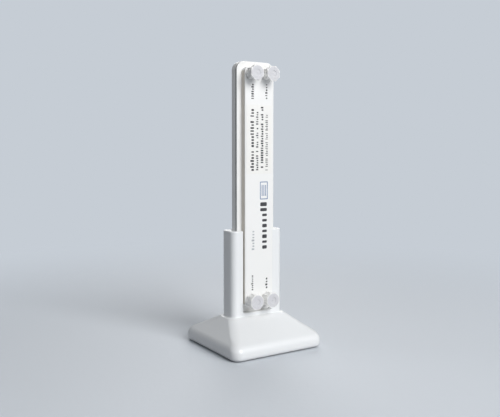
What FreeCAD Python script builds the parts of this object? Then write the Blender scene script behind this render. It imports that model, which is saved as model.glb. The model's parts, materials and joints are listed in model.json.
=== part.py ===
import FreeCAD, Part
import math
import operator
import os

import Sketcher

# Tangential flow filter cassette with four capped Luer ports, standing in its moulded stand.
# Millimetres. The origin lies on the table under the middle of the stand, +Z is up, and the
# ports face -Y. Sizes with a front or back sense are measured along Y from the origin.

SIZES = {
    # stand base
    "foot_rise": 0.8,
    "base_width": 82.0,
    "base_depth": 80.0,
    "base_corner_radius": 7.0,
    "skirt_height": 9.0,
    "skirt_edge_radius": 3.5,
    "slope_top_height": 24.4,
    "slope_edge_radius": 2.0,
    "base_wall": 2.6,
    "seat_plate": 3.2,
    "rib_thickness": 1.6,
    "rib_spacing": 18.0,
    "rib_reach": 21.0,
    "rib_bottom": 17.0,
    # stand column
    "seat_height": 27.6,
    "column_rise": 65.2,
    "column_side_wall": 5.7,
    "column_back_wall": 4.7,
    "column_corner_radius": 4.5,
    "lip_thickness": 3.3,
    "column_edge_radius": 0.9,
    "column_foot_radius": 1.2,
    "column_ledge": 2.2,
    "slot_corner_radius": 1.8,
    "core_width": 2.5,
    "core_length": 10.0,
    "core_roof": 3.0,
    "channel_side_clearance": 0.5,
    "channel_face_clearance": 0.4,
    "slot_clearance": 0.5,
    "lip_edge_radius": 0.8,
    # feet
    "foot_radius": 3.6,
    "foot_thickness": 2.0,
    "foot_edge": 0.4,
    "foot_clearance": 0.1,
    "foot_inset": 10.0,
    "foot_boss_wall": 1.9,
    # cassette body
    "cassette_width": 34.6,
    "cassette_length": 198.0,
    "cassette_corner_radius": 7.0,
    "flange_thickness": 1.0,
    "flange_edge": 0.4,
    "block_width": 26.2,
    "block_inset": 4.5,
    "block_height": 5.3,
    "block_corner_radius": 4.5,
    "block_edge": 0.7,
    "block_foot_radius": 0.6,
    "seal_front": 3.0,
    "seal_thickness": 1.2,
    "seal_inset": 1.2,
    "rear_thickness": 6.2,
    "rear_edge": 1.2,
    "cell_side_margin": 3.1,
    "cell_end_margin": 8.8,
    "cell_depth": 3.3,
    "cell_radius": 1.5,
    "cell_rib": 1.6,
    "cell_rows": 10,
    # filter pack
    "pack_side_margin": 1.1,
    "pack_end_margin": 5.0,
    "pack_corner_radius": 3.0,
    "pack_clearance": 0.1,
    "permeate_screen": 0.45,
    "membrane": 0.2,
    "feed_screen": 0.7,
    "port_seal_radius": 2.6,
    # Luer ports
    "port_spacing": 14.8,
    "port_inset": 10.0,
    "port_height": 7.0,
    "port_radius": 3.35,
    "port_draft": 0.15,
    "lug_radius": 3.9,
    "lug_width": 3.4,
    "lug_length": 2.0,
    "lug_setback": 0.2,
    "luer_radius": 2.15,
    "luer_taper": 0.03,
    "luer_depth": 8.5,
    "luer_lead_in": 0.25,
    "passage_radius": 1.2,
    # caps
    "cap_reach": 9.4,
    "cap_mouth_gap": 0.6,
    "cap_roof_gap": 0.3,
    "cap_bore_clearance": 0.1,
    "cap_collar_wall": 0.9,
    "cap_grip_radius": 6.2,
    "cap_grip_thickness": 2.1,
    "cap_grip_edge": 0.35,
    "cap_lobes": 8,
    "cap_scallop_radius": 12.0,
    "cap_scallop_depth": 0.45,
    "cap_rib_width": 0.9,
    "cap_rib_height": 0.6,
    "cap_dimple_radius": 2.6,
    "cap_dimple_depth": 0.35,
    "plug_clearance": 0.03,
    "plug_length": 6.6,
    # label film
    "label_side_margin": 1.3,
    "label_length": 54.0,
    "label_top_margin": 34.0,
    "label_thickness": 0.12,
    "label_radius": 1.0,
    # how far a cutting outline runs past the face that it starts from
    "cut_past": 3.0,
}


class Size:
    """A number with the expression that gives it, so that what is drawn with it stays bound."""

    def __init__(self, value, text):
        self.value = value
        self.text = text

    def joined(self, sign, other):
        other = other if isinstance(other, Size) else Size(float(other), f"{other:g}")
        work = {"+": operator.add, "-": operator.sub, "*": operator.mul, "/": operator.truediv}
        value = work[sign](self.value, other.value)
        return Size(value, f"({self.text} {sign} {other.text})")

    def __add__(self, other):
        return self.joined("+", other)

    def __sub__(self, other):
        return self.joined("-", other)

    def __mul__(self, other):
        return self.joined("*", other)

    def __truediv__(self, other):
        return self.joined("/", other)

    def __neg__(self):
        return Size(-self.value, f"(-1 * {self.text})")


doc = FreeCAD.newDocument("filter_cassette")
sheet = doc.addObject("Spreadsheet::Sheet", "Sizes")
for row, (name, value) in enumerate(SIZES.items(), start=1):
    sheet.set(f"A{row}", name.replace("_", " "))
    sheet.set(f"B{row}", f"{value:g}")
    sheet.setAlias(f"B{row}", name)
doc.recompute()


class Sheet:
    """Reads the spreadsheet's cells as sizes: dim.base_width is the cell of that alias."""

    def __getattr__(self, name):
        return Size(float(SIZES[name]), f"Sizes.{name}")


dim = Sheet()
ZERO = Size(0.0, "0")


# Helpers that draw and bind


def bind(thing, prop, size):
    thing.setExpression(prop, size.text)


def new_body(label, x=ZERO, y=ZERO, z=ZERO):
    """A body whose own origin stands at x, y, z."""
    body = doc.addObject("PartDesign::Body", label)
    body.Label = label
    bind(body, "Placement.Base.x", x)
    bind(body, "Placement.Base.y", y)
    bind(body, "Placement.Base.z", z)
    return body


def origin_part(body, role):
    return next(part for part in body.Origin.OriginFeatures if part.Role == role)


def new_sketch(body, name, plane, across=ZERO, along=ZERO, out=ZERO):
    """A sketch on one of the body's origin planes, its own origin moved in and off the plane."""
    sketch = body.newObject("Sketcher::SketchObject", name)
    sketch.AttachmentSupport = [(origin_part(body, plane), "")]
    sketch.MapMode = "FlatFace"
    bind(sketch, "AttachmentOffset.Base.x", across)
    bind(sketch, "AttachmentOffset.Base.y", along)
    bind(sketch, "AttachmentOffset.Base.z", out)
    return sketch


def dimension(sketch, kind, curve, size):
    index = sketch.addConstraint(Sketcher.Constraint(kind, curve, size.value))
    sketch.setExpression(f"Constraints[{index}]", size.text)


def hold(sketch, curve, end, x, y):
    """Holds one point of a curve at x, y from the sketch's origin."""
    for kind, size, axis in (("DistanceX", x, -2), ("DistanceY", y, -1)):
        if size.text == "0":
            sketch.addConstraint(Sketcher.Constraint("PointOnObject", curve, end, axis))
            continue
        if size.value < 0:
            size = -size
            ends = (curve, end, -1, 1)
        else:
            ends = (-1, 1, curve, end)
        index = sketch.addConstraint(Sketcher.Constraint(kind, *ends, size.value))
        sketch.setExpression(f"Constraints[{index}]", size.text)


def draw_polygon(sketch, corners):
    """A closed outline of straight lines through the corners, each an x, y pair."""
    points = [FreeCAD.Vector(x.value, y.value, 0) for x, y in corners]
    first = sketch.GeometryCount
    count = len(points)
    for i in range(count):
        line = Part.LineSegment(points[i], points[(i + 1) % count])
        sketch.addGeometry(line, False)
    for i in range(count):
        ends = (first + i, 2, first + (i + 1) % count, 1)
        sketch.addConstraint(Sketcher.Constraint("Coincident", *ends))
    for i, (x, y) in enumerate(corners):
        hold(sketch, first + i, 1, x, y)


def draw_circle(sketch, radius, x=ZERO, y=ZERO):
    centre = FreeCAD.Vector(x.value, y.value, 0)
    up = FreeCAD.Vector(0, 0, 1)
    curve = sketch.addGeometry(Part.Circle(centre, up, radius.value), False)
    hold(sketch, curve, 3, x, y)
    dimension(sketch, "Radius", curve, radius)


def draw_rounded_rectangle(sketch, width, height, radius):
    """A rectangle with round corners, centred on the sketch's origin."""
    up = FreeCAD.Vector(0, 0, 1)
    right = width / 2 - radius
    top = height / 2 - radius
    quarter = math.pi / 2
    corners = [(right, top), (-right, top), (-right, -top), (right, -top)]
    arcs = []
    for turn, (x, y) in enumerate(corners):
        circle = Part.Circle(FreeCAD.Vector(x.value, y.value, 0), up, radius.value)
        arc = Part.ArcOfCircle(circle, turn * quarter, (turn + 1) * quarter)
        arcs.append(sketch.addGeometry(arc, False))
    for turn, arc in enumerate(arcs):
        after = arcs[(turn + 1) % 4]
        start = sketch.getPoint(arc, 2)
        finish = sketch.getPoint(after, 1)
        line = sketch.addGeometry(Part.LineSegment(start, finish), False)
        sketch.addConstraint(Sketcher.Constraint("Tangent", arc, 2, line, 1))
        sketch.addConstraint(Sketcher.Constraint("Tangent", line, 2, after, 1))
    for arc, (x, y) in zip(arcs, corners):
        hold(sketch, arc, 3, x, y)
        dimension(sketch, "Radius", arc, radius)


def feature(body, kind, name, **settings):
    made = body.newObject(f"PartDesign::{kind}", name)
    for prop, value in settings.items():
        setattr(made, prop, value)
    return made


def pad(body, name, sketch, length, back=False):
    """Adds the sketch's outline, thickened along the sketch's normal, or against it."""
    made = feature(body, "Pad", name, Profile=sketch, Reversed=back)
    bind(made, "Length", length)
    return made


def pocket(body, name, sketch, depth=None, along_normal=False):
    """Cuts the sketch's outline, against the sketch's normal unless told otherwise."""
    made = feature(body, "Pocket", name, Profile=sketch, Reversed=along_normal)
    if depth is None:
        made.Type = "ThroughAll"
    else:
        bind(made, "Length", depth)
    return made


def round_edges(body, name, radius, wanted):
    """A fillet on every edge of the body's tip for which wanted(edge) is true."""
    doc.recompute()
    base = body.Tip
    edges = [f"Edge{i}" for i, edge in enumerate(base.Shape.Edges, start=1) if wanted(edge)]
    made = feature(body, "Fillet", name, Base=(base, edges))
    bind(made, "Radius", radius)
    return made


def grid_pattern(body, name, originals, first, second):
    """Repeats features along two of the body's axes: each way is (axis role, length, count)."""
    made = feature(body, "LinearPattern", name, Originals=originals)
    made.Direction = (origin_part(body, first[0]), [""])
    made.Mode = "Extent"
    bind(made, "Length", first[1])
    bind(made, "Occurrences", first[2])
    if second is not None:
        made.Direction2 = (origin_part(body, second[0]), [""])
        made.Mode2 = "Extent"
        bind(made, "Length2", second[1])
        bind(made, "Occurrences2", second[2])
    body.Tip = made
    return made


def ring_pattern(body, name, originals, count):
    made = feature(body, "PolarPattern", name, Originals=originals)
    made.Axis = (origin_part(body, "Y_Axis"), [""])
    made.Angle = 360
    bind(made, "Occurrences", count)
    body.Tip = made
    return made


def level(edge, height):
    """True for an edge that lies at one height."""
    return abs(edge.BoundBox.ZMin - height) < 0.01 and abs(edge.BoundBox.ZMax - height) < 0.01


def at_depth(edge, y):
    """True for an edge that lies in a plane of constant Y."""
    return abs(edge.BoundBox.YMin - y) < 0.01 and abs(edge.BoundBox.YMax - y) < 0.01


# Places that several pieces share

TWO = Size(2.0, "2")
CORNERS = [(-1, -1), (1, -1), (-1, 1), (1, 1)]
flange_face = dim.seal_front + dim.flange_thickness
block_face = flange_face + dim.block_height
rear_front = dim.seal_thickness - dim.seal_front
rear_back = rear_front + dim.rear_thickness
pack_thickness = dim.permeate_screen * 2 + dim.membrane * 2 + dim.feed_screen
recess_depth = (pack_thickness - dim.seal_thickness) / 2
cassette_middle = dim.cassette_length / 2
pack_width = dim.block_width - dim.pack_side_margin * 2
pack_length = dim.cassette_length - dim.pack_end_margin * 2
port_low = dim.port_inset
port_high = dim.cassette_length - dim.port_inset
port_side = dim.port_spacing / 2
port_mouth = block_face + dim.port_height

channel_front = flange_face + dim.channel_face_clearance
channel_back = rear_back + dim.channel_face_clearance
channel_half = dim.cassette_width / 2 + dim.channel_side_clearance
slot_half = dim.block_width / 2 + dim.slot_clearance
column_front = channel_front + dim.lip_thickness
column_back = channel_back + dim.column_back_wall
column_half = channel_half + dim.column_side_wall
column_middle = (column_back - column_front) / 2
column_depth = column_back + column_front
column_top = dim.seat_height + dim.column_rise
skirt_top = dim.foot_rise + dim.skirt_height
foot_side = dim.base_width / 2 - dim.foot_inset
foot_end = dim.base_depth / 2 - dim.foot_inset


# Stand


def make_stand():
    """One moulding: a hollow, sloping base and a column with a channel that is open in front."""
    body = new_body("stand")

    skirt = new_sketch(body, "skirt_outline", "XY_Plane", out=dim.foot_rise)
    draw_rounded_rectangle(skirt, dim.base_width, dim.base_depth, dim.base_corner_radius)
    pad(body, "skirt", skirt, dim.skirt_height)

    low = new_sketch(body, "slope_low", "XY_Plane", out=skirt_top)
    draw_rounded_rectangle(low, dim.base_width, dim.base_depth, dim.base_corner_radius)
    high = new_sketch(body, "slope_high", "XY_Plane", along=column_middle, out=dim.slope_top_height)
    ledge = dim.column_ledge
    draw_rounded_rectangle(
        high, column_half * 2 + ledge * 2, column_depth + ledge * 2, dim.column_corner_radius + ledge
    )
    feature(body, "AdditiveLoft", "slope", Profile=low, Sections=[high], Ruled=True)
    round_edges(body, "skirt_edge", dim.skirt_edge_radius, lambda e: level(e, skirt_top.value))
    slope_top = dim.slope_top_height.value
    round_edges(body, "slope_edge", dim.slope_edge_radius, lambda e: level(e, slope_top))

    column = new_sketch(body, "column_outline", "XY_Plane", along=column_middle, out=skirt_top)
    draw_rounded_rectangle(
        column, column_half * 2, column_depth, dim.column_corner_radius
    )
    pad(body, "column", column, column_top - skirt_top)
    round_edges(body, "column_foot", dim.column_foot_radius, on_column_foot)

    channel = new_sketch(body, "channel_outline", "XY_Plane", out=dim.seat_height)
    past = column_front + dim.cut_past
    draw_polygon(
        channel,
        [
            (channel_half, channel_back),
            (-channel_half, channel_back),
            (-channel_half, -channel_front),
            (-slot_half, -channel_front),
            (-slot_half, -past),
            (slot_half, -past),
            (slot_half, -channel_front),
            (channel_half, -channel_front),
        ],
    )
    pocket(body, "channel", channel, along_normal=True)

    def slot_corner(edge):
        box = edge.BoundBox
        beside = abs(abs(box.Center.x) - slot_half.value) < 0.01
        return beside and level(edge, dim.seat_height.value) and box.YMax < -channel_front.value + 0.01

    round_edges(body, "slot_corner", dim.slot_corner_radius, slot_corner)

    def slot_mouth(edge):
        box = edge.BoundBox
        inside = max(abs(box.XMin), abs(box.XMax)) < slot_half.value + 0.01
        above = box.ZMin > dim.seat_height.value - 0.01
        return inside and above and at_depth(edge, -column_front.value)

    round_edges(body, "slot_mouth", dim.lip_edge_radius, slot_mouth)

    def column_rim(edge):
        return level(edge, column_top.value)

    round_edges(body, "column_rim", dim.column_edge_radius, column_rim)

    inside_depth = dim.base_depth - dim.base_wall * 2
    inside_width = dim.base_width - dim.base_wall * 2
    inside_radius = dim.base_corner_radius - dim.base_wall
    inside_top = skirt_top - dim.base_wall / 2
    under = new_sketch(body, "hollow_outline", "XY_Plane", out=dim.foot_rise)
    draw_rounded_rectangle(under, inside_width, inside_depth, inside_radius)
    pocket(body, "hollow", under, inside_top - dim.foot_rise, along_normal=True)
    low = new_sketch(body, "hollow_low", "XY_Plane", out=inside_top)
    draw_rounded_rectangle(low, inside_width, inside_depth, inside_radius)
    hollow_top = dim.seat_height - dim.seat_plate
    high = new_sketch(body, "hollow_high", "XY_Plane", along=column_middle, out=hollow_top)
    wall = dim.base_wall
    draw_rounded_rectangle(
        high, column_half * 2 - wall * 2, column_depth - wall * 2, dim.column_corner_radius - wall
    )
    feature(body, "SubtractiveLoft", "hollow_slope", Profile=low, Sections=[high], Ruled=True)

    core = new_sketch(body, "core_outline", "XY_Plane", out=dim.rib_bottom)
    core_left = (channel_half + (dim.column_side_wall - dim.core_width) / 2) * -1
    core_back = (channel_back - channel_front + dim.core_length) / 2
    core_front = core_back - dim.core_length
    draw_polygon(
        core,
        [
            (core_left, core_front),
            (core_left, core_back),
            (core_left - dim.core_width, core_back),
            (core_left - dim.core_width, core_front),
        ],
    )
    core_height = column_top - dim.core_roof - dim.rib_bottom
    hollow_wall = pocket(body, "wall_core", core, core_height, along_normal=True)
    core_spacing = channel_half * 2 + dim.column_side_wall
    grid_pattern(body, "wall_cores", [hollow_wall], ("X_Axis", core_spacing, TWO), None)

    rib_at = {"across": column_middle, "out": dim.rib_spacing / -2}
    rib = new_sketch(body, "rib_outline", "YZ_Plane", **rib_at)
    rib_top = dim.seat_height - dim.seat_plate / 2
    rib_short = column_depth / 2 - dim.base_wall
    draw_polygon(
        rib,
        [
            (-dim.rib_reach, dim.rib_bottom),
            (dim.rib_reach, dim.rib_bottom),
            (rib_short, rib_top),
            (-rib_short, rib_top),
        ],
    )
    stiffener = pad(body, "rib", rib, dim.rib_thickness)
    stiffener.Midplane = True
    grid_pattern(body, "ribs", [stiffener], ("X_Axis", dim.rib_spacing, TWO), None)

    for side, end in CORNERS:
        make_foot_boss(body, side, end)
    return body


def make_foot_boss(body, side, end):
    """A round boss that grows up to the slope's underside, with a recess for one foot."""
    corner = {"across": foot_side * side, "along": foot_end * end}
    recess_radius = dim.foot_radius + dim.foot_clearance
    boss = new_sketch(body, "boss_outline", "XY_Plane", out=dim.foot_rise, **corner)
    draw_circle(boss, recess_radius + dim.foot_boss_wall)
    feature(body, "Pad", "foot_boss", Profile=boss, Type="UpToFirst")
    recess = new_sketch(body, "recess_outline", "XY_Plane", out=dim.foot_rise, **corner)
    draw_circle(recess, recess_radius)
    pocket(body, "foot_recess", recess, dim.foot_thickness - dim.foot_rise, along_normal=True)


def on_column_foot(edge):
    """True for an edge along which the column stands on the ledge at the top of the slope."""
    box = edge.BoundBox
    on_ledge = level(edge, dim.slope_top_height.value)
    beside = box.XMax < column_half.value + 0.01 and box.XMin > -column_half.value - 0.01
    along = abs(box.Center.y - column_middle.value) < column_depth.value / 2 + 0.01
    return on_ledge and beside and along


def make_foot(label, side, end):
    """A round rubber foot, pressed into its recess under one corner of the base."""
    body = new_body(label, x=foot_side * side, y=foot_end * end)
    disc = new_sketch(body, f"{label}_outline", "XY_Plane")
    draw_circle(disc, dim.foot_radius)
    pad(body, f"{label}_disc", disc, dim.foot_thickness)
    round_edges(body, f"{label}_edge", dim.foot_edge, lambda e: level(e, 0.0))
    return body


# Cassette shells


def make_front_cover():
    """The ported end cap: flange, raised block, and four female Luer ports moulded on it."""
    body = new_body("front_cover", z=dim.seat_height)

    outline = new_sketch(body, "flange_outline", "XZ_Plane", along=cassette_middle, out=dim.seal_front)
    draw_rounded_rectangle(
        outline, dim.cassette_width, dim.cassette_length, dim.cassette_corner_radius
    )
    pad(body, "flange", outline, dim.flange_thickness)
    face = new_sketch(body, "block_outline", "XZ_Plane", along=cassette_middle, out=flange_face)
    block_length = dim.cassette_length - dim.block_inset * 2
    draw_rounded_rectangle(face, dim.block_width, block_length, dim.block_corner_radius)
    pad(body, "block", face, dim.block_height)
    round_edges(body, "block_edge", dim.block_edge, lambda e: at_depth(e, -block_face.value))

    def on_block(edge):
        return edge.BoundBox.ZMin > dim.block_inset.value - 0.01 and (
            edge.BoundBox.ZMax < (dim.cassette_length - dim.block_inset).value + 0.01
            and abs(edge.BoundBox.Center.x) < dim.block_width.value / 2 + 0.01
        )

    def block_foot(edge):
        return at_depth(edge, -flange_face.value) and on_block(edge)

    round_edges(body, "block_foot", dim.block_foot_radius, block_foot)

    def flange_rim(edge):
        return at_depth(edge, -flange_face.value) and not around_block(edge)

    def around_block(edge):
        grown = dim.block_foot_radius.value + 0.01
        return abs(edge.BoundBox.Center.x) < dim.block_width.value / 2 + grown and (
            edge.BoundBox.ZMin > dim.block_inset.value - grown
            and edge.BoundBox.ZMax < (dim.cassette_length - dim.block_inset).value + grown
        )

    round_edges(body, "flange_rim", dim.flange_edge, flange_rim)

    axis = {"along": port_low, "out": -port_side}
    barrel = new_sketch(body, "barrel_outline", "YZ_Plane", **axis)
    rooted = dim.cut_past - block_face
    draw_polygon(
        barrel,
        [
            (rooted, ZERO),
            (rooted, dim.port_radius + dim.port_draft),
            (-block_face, dim.port_radius + dim.port_draft),
            (-port_mouth, dim.port_radius),
            (-port_mouth, ZERO),
        ],
    )
    tube = feature(body, "Revolution", "barrel", Profile=barrel, Angle=360)
    tube.ReferenceAxis = (barrel, ["H_Axis"])

    lug_out = port_mouth - dim.lug_setback - dim.lug_length
    lug_at = {"across": -port_side, "along": port_low, "out": lug_out}
    lugs = new_sketch(body, "lug_outline", "XZ_Plane", **lug_at)
    draw_lug(lugs, 1)
    draw_lug(lugs, -1)
    lug_pad = pad(body, "lugs", lugs, dim.lug_length)

    bore = new_sketch(body, "bore_outline", "YZ_Plane", **axis)
    bore_end = dim.luer_depth - port_mouth
    draw_polygon(
        bore,
        [
            (-port_mouth, ZERO),
            (-port_mouth, dim.luer_radius + dim.luer_lead_in),
            (dim.luer_lead_in - port_mouth, dim.luer_radius),
            (bore_end, dim.luer_radius - dim.luer_depth * dim.luer_taper),
            (bore_end, dim.passage_radius),
            (dim.cut_past - dim.seal_front, dim.passage_radius),
            (dim.cut_past - dim.seal_front, ZERO),
        ],
    )
    drill = feature(body, "Groove", "luer_bore", Profile=bore, Angle=360)
    drill.ReferenceAxis = (bore, ["H_Axis"])
    ways = (("X_Axis", dim.port_spacing, TWO), ("Z_Axis", port_high - port_low, TWO))
    grid_pattern(body, "ports", [tube, lug_pad, drill], *ways)

    recess = new_sketch(body, "recess_outline", "XZ_Plane", along=cassette_middle, out=dim.seal_front)
    draw_rounded_rectangle(recess, pack_width, pack_length, dim.pack_corner_radius)
    pocket(body, "pack_recess", recess, recess_depth, along_normal=True)
    return body


def draw_lug(sketch, side):
    """One thread lug of a female Luer port: an ear that ends on an arc about the port's axis."""
    half = dim.lug_width / 2
    root = dim.port_radius / 2 * side
    reach = (dim.lug_radius.value**2 - half.value**2) ** 0.5 * side
    ends = [FreeCAD.Vector(reach, half.value * s * side, 0) for s in (-1, 1)]
    tip = FreeCAD.Vector(dim.lug_radius.value * side, 0, 0)
    arc = sketch.addGeometry(Part.Arc(ends[0], tip, ends[1]), False)
    roots = [FreeCAD.Vector(root.value, end.y, 0) for end in ends]
    low = sketch.addGeometry(Part.LineSegment(roots[0], ends[0]), False)
    back = sketch.addGeometry(Part.LineSegment(roots[1], roots[0]), False)
    high = sketch.addGeometry(Part.LineSegment(ends[1], roots[1]), False)
    for pair in ((low, 2, arc, 1), (arc, 2, high, 1), (high, 2, back, 1), (back, 2, low, 1)):
        sketch.addConstraint(Sketcher.Constraint("Coincident", *pair))
    sketch.addConstraint(Sketcher.Constraint("Coincident", arc, 3, -1, 1))
    sketch.addConstraint(Sketcher.Constraint("Horizontal", low))
    sketch.addConstraint(Sketcher.Constraint("Horizontal", high))
    dimension(sketch, "Radius", arc, dim.lug_radius)
    hold(sketch, back, 2, root, half * -side)
    hold(sketch, back, 1, root, half * side)


def make_rear_cover():
    """The plain end cap: a plate, recessed for the filter pack and cored between ribs behind."""
    body = new_body("rear_cover", z=dim.seat_height)
    outline = new_sketch(body, "plate_outline", "XZ_Plane", along=cassette_middle, out=-rear_front)
    draw_rounded_rectangle(
        outline, dim.cassette_width, dim.cassette_length, dim.cassette_corner_radius
    )
    pad(body, "plate", outline, dim.rear_thickness, back=True)
    round_edges(body, "plate_edge", dim.rear_edge, lambda e: at_depth(e, rear_back.value))

    recess = new_sketch(body, "recess_outline", "XZ_Plane", along=cassette_middle, out=-rear_front)
    draw_rounded_rectangle(recess, pack_width, pack_length, dim.pack_corner_radius)
    pocket(body, "pack_recess", recess, recess_depth)

    pitch_x = (dim.cassette_width + dim.cell_rib) / 2 - dim.cell_side_margin
    pitch_z = (dim.cassette_length + dim.cell_rib - dim.cell_end_margin * 2) / dim.cell_rows
    rows_length = pitch_z * (dim.cell_rows - 1)
    first_row = cassette_middle - rows_length / 2
    cell_at = {"across": pitch_x / -2, "along": first_row, "out": -rear_back}
    cell = new_sketch(body, "cell_outline", "XZ_Plane", **cell_at)
    draw_rounded_rectangle(cell, pitch_x - dim.cell_rib, pitch_z - dim.cell_rib, dim.cell_radius)
    first = pocket(body, "cell", cell, dim.cell_depth, along_normal=True)
    ways = (("X_Axis", pitch_x, TWO), ("Z_Axis", rows_length, dim.cell_rows))
    grid_pattern(body, "cells", [first], *ways)
    return body


def make_edge_seal():
    """The cast seal between the covers: a frame, set back from their rims all round."""
    body = new_body("edge_seal", z=dim.seat_height)
    frame = new_sketch(body, "seal_outline", "XZ_Plane", along=cassette_middle, out=-rear_front)
    inset = dim.seal_inset * 2
    draw_rounded_rectangle(
        frame,
        dim.cassette_width - inset,
        dim.cassette_length - inset,
        dim.cassette_corner_radius - dim.seal_inset,
    )
    draw_rounded_rectangle(frame, pack_width, pack_length, dim.pack_corner_radius)
    pad(body, "seal", frame, dim.seal_thickness)
    return body


# Filter pack

pack_back = rear_front + recess_depth


def make_sheet(label, behind, thickness, feed_hole, permeate_hole):
    """One sheet of the pack, with what is behind it and the radius of its port holes, if any."""
    body = new_body(label, z=dim.seat_height)
    out = behind - pack_back
    sheet_outline = new_sketch(body, f"{label}_outline", "XZ_Plane", along=cassette_middle, out=out)
    gap = dim.pack_clearance
    draw_rounded_rectangle(
        sheet_outline,
        pack_width - gap * 2,
        pack_length - gap * 2,
        dim.pack_corner_radius - gap,
    )
    for side, radius in ((-port_side, feed_hole), (port_side, permeate_hole)):
        if radius is not None:
            draw_circle(sheet_outline, radius, side, cassette_middle - port_low)
            draw_circle(sheet_outline, radius, side, port_low - cassette_middle)
    pad(body, f"{label}_sheet", sheet_outline, thickness)
    return body


def make_filter_pack():
    """Screen, membrane, screen, membrane, screen, from the back to the front."""
    seal = dim.port_seal_radius
    passage = dim.passage_radius
    sheets = [
        ("permeate_screen_rear", dim.permeate_screen, None, None),
        ("membrane_rear", dim.membrane, None, seal),
        ("feed_screen", dim.feed_screen, None, seal),
        ("membrane_front", dim.membrane, seal, seal),
        ("permeate_screen_front", dim.permeate_screen, seal, passage),
    ]
    behind = ZERO
    for label, thickness, feed_hole, permeate_hole in sheets:
        make_sheet(label, behind, thickness, feed_hole, permeate_hole)
        behind = behind + thickness


def make_port_seal(label, side, height, behind, thickness):
    """A sealing ring that carries one port's passage through the sheets it must not wet."""
    body = new_body(label, x=side, z=dim.seat_height + height)
    ring = new_sketch(body, f"{label}_outline", "XZ_Plane", out=behind - pack_back)
    draw_circle(ring, dim.port_seal_radius)
    draw_circle(ring, dim.passage_radius)
    pad(body, f"{label}_ring", ring, thickness)
    return body


def make_port_seals():
    past_feed = dim.permeate_screen + dim.membrane + dim.feed_screen
    outer = dim.membrane + dim.permeate_screen
    inner = dim.feed_screen + dim.membrane * 2
    make_port_seal("feed_seal", -port_side, port_low, past_feed, outer)
    make_port_seal("retentate_seal", -port_side, port_high, past_feed, outer)
    make_port_seal("permeate_seal_low", port_side, port_low, dim.permeate_screen, inner)
    make_port_seal("permeate_seal_high", port_side, port_high, dim.permeate_screen, inner)


def make_label():
    """The thin printed film on the upper half of the block's face."""
    body = new_body("label", z=dim.seat_height)
    middle = dim.cassette_length - dim.label_top_margin - dim.label_length / 2
    label_width = dim.block_width - dim.label_side_margin * 2
    film = new_sketch(body, "label_outline", "XZ_Plane", along=middle, out=block_face)
    draw_rounded_rectangle(film, label_width, dim.label_length, dim.label_radius)
    pad(body, "film", film, dim.label_thickness)
    return body


# Caps

cap_bore = dim.lug_radius + dim.cap_bore_clearance
collar_radius = cap_bore + dim.cap_collar_wall
grip_back = dim.cap_reach - dim.cap_grip_thickness


def make_cap(label, side, height):
    """A Luer cap: tapered plug, collar around the port's lugs, and a lobed grip in front."""
    body = new_body(label, x=side, y=-block_face, z=dim.seat_height + height)

    plug_root = dim.luer_radius - dim.plug_clearance
    plug_end = dim.port_height - dim.plug_length
    roof = dim.port_height + dim.cap_roof_gap
    profile = new_sketch(body, f"{label}_profile", "XY_Plane")
    draw_polygon(
        profile,
        [
            (ZERO, -plug_end),
            (plug_root - dim.plug_length * dim.luer_taper, -plug_end),
            (plug_root + dim.cap_roof_gap * dim.luer_taper, -roof),
            (cap_bore, -roof),
            (cap_bore, -dim.cap_mouth_gap),
            (collar_radius, -dim.cap_mouth_gap),
            (collar_radius, -grip_back),
            (dim.cap_grip_radius, -grip_back),
            (dim.cap_grip_radius, -dim.cap_reach),
            (dim.cap_dimple_radius, -dim.cap_reach),
            (dim.cap_dimple_radius, dim.cap_dimple_depth - dim.cap_reach),
            (ZERO, dim.cap_dimple_depth - dim.cap_reach),
        ],
    )
    turned = feature(body, "Revolution", f"{label}_turned", Profile=profile, Angle=360)
    turned.ReferenceAxis = (profile, ["V_Axis"])

    scallop = new_sketch(body, f"{label}_scallop", "XZ_Plane", out=grip_back)
    cutter = dim.cap_grip_radius - dim.cap_scallop_depth + dim.cap_scallop_radius
    draw_circle(scallop, dim.cap_scallop_radius, cutter, ZERO)
    flat = pocket(body, f"{label}_flat", scallop, dim.cap_grip_thickness, along_normal=True)
    ring_pattern(body, f"{label}_lobes", [flat], dim.cap_lobes)
    round_edges(body, f"{label}_rim", dim.cap_grip_edge, rim_edge)

    rib = new_sketch(body, f"{label}_rib_outline", "XZ_Plane", out=dim.cap_mouth_gap)
    half = dim.cap_rib_width / 2
    root = collar_radius - dim.cap_collar_wall / 2
    tip = collar_radius + dim.cap_rib_height
    draw_polygon(rib, [(root, -half), (tip, -half), (tip, half), (root, half)])
    ridge = pad(body, f"{label}_rib", rib, grip_back - dim.cap_mouth_gap)
    ring_pattern(body, f"{label}_ribs", [ridge], dim.cap_lobes)
    return body


def rim_edge(edge):
    """True for the outer edges of the grip's front face."""
    box = edge.BoundBox
    outside = (box.Center.x**2 + box.Center.z**2) ** 0.5 > dim.cap_dimple_radius.value
    return at_depth(edge, -dim.cap_reach.value) and outside


def make_caps():
    make_cap("feed_cap", -port_side, port_low)
    make_cap("retentate_cap", -port_side, port_high)
    make_cap("permeate_cap_low", port_side, port_low)
    make_cap("permeate_cap_high", port_side, port_high)


# Build everything, check it and write one STEP file for each node

make_stand()
for side, end in CORNERS:
    place = ("front" if end < 0 else "rear") + ("_left" if side < 0 else "_right")
    make_foot(f"foot_{place}", side, end)
make_front_cover()
make_rear_cover()
make_edge_seal()
make_filter_pack()
make_port_seals()
make_label()
make_caps()
doc.recompute()

for thing in doc.Objects:
    if "Invalid" in thing.State or "Error" in thing.State:
        raise RuntimeError(f"{thing.Name} did not compute: {thing.State}")

os.makedirs("parts", exist_ok=True)
for body in doc.findObjects("PartDesign::Body"):
    shape = body.Shape
    if shape.isNull() or not shape.isValid() or not shape.Solids:
        raise RuntimeError(f"{body.Label} has no valid solid")
    shape.exportStep(f"parts/{body.Label}.step")
    print(f"{body.Label}: {len(shape.Solids)} solid, {shape.Volume / 1000:.2f} cm3")
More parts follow.
